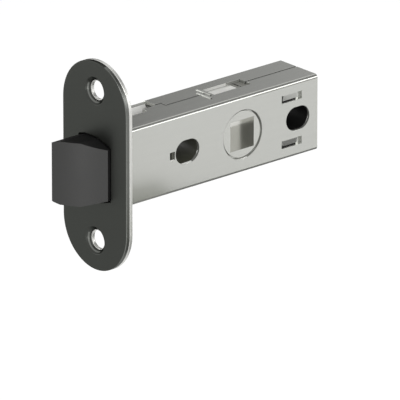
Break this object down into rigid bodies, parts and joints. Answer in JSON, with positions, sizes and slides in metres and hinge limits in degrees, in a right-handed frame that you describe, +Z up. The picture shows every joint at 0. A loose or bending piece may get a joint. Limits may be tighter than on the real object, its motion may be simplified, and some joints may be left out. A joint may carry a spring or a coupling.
{
  "type": "tubular mortice door latch",
  "caption": "Tubular mortice door latch: a sprung bevelled bolt in a folded steel case behind a round-ended faceplate, drawn back by a square follower.",
  "frame": {"origin": "centre of the faceplate's front face", "axes": "+X along the case into the door's edge, +Y across the door's thickness, +Z up along the faceplate; the bolt throws along -X"},
  "size_m": [0.0796, 0.025, 0.057],
  "materials": {
    "dark_plate": "satin greenish dark grey coating",
    "zinc_steel": "bright zinc-plated sheet",
    "case_steel": "satin zinc-plated folded sheet",
    "dark_bolt": "matte dark grey coated casting",
    "spring_steel": "drawn spring wire",
    "black_moulding": "black moulded nylon",
    "cast_zinc": "satin plated zinc casting"
  },
  "bodies": {
    "case_body": {"faceplate": "dark_plate", "backing_plate": "zinc_steel", "case": "case_steel", "bolt_spring": "spring_steel", "spring_guide": "zinc_steel", "front_spacer": "black_moulding", "rear_spacer": "black_moulding", "end_plate": "case_steel", "tail_springs": "spring_steel", "spring_pins": "zinc_steel"},
    "bolt_body": {"latch_bolt": "dark_bolt", "bolt_tail": "zinc_steel", "tail_rivets": "zinc_steel"},
    "follower_body": {"follower_hub": "cast_zinc", "follower_cam": "zinc_steel", "hub_bush": "black_moulding"}
  },
  "joints": [
    {"name": "bolt_slide", "type": "slide", "parent": "case_body", "child": "bolt_body", "axis": [1, 0, 0], "range_m": [0, 0.0094], "stiffness_N_per_m": 600, "springref_m": -0.01, "deforming": ["bolt_spring", "tail_springs"]},
    {"name": "follower_turn", "type": "hinge", "parent": "case_body", "child": "follower_body", "pos_m": [0.0442, 0, 0], "axis": [0, 1, 0], "range_deg": [0, 62]}
  ],
  "couplings": [
    {"joint": "follower_turn", "follows": "bolt_slide", "rad_per_m": 115.11}
  ]
}
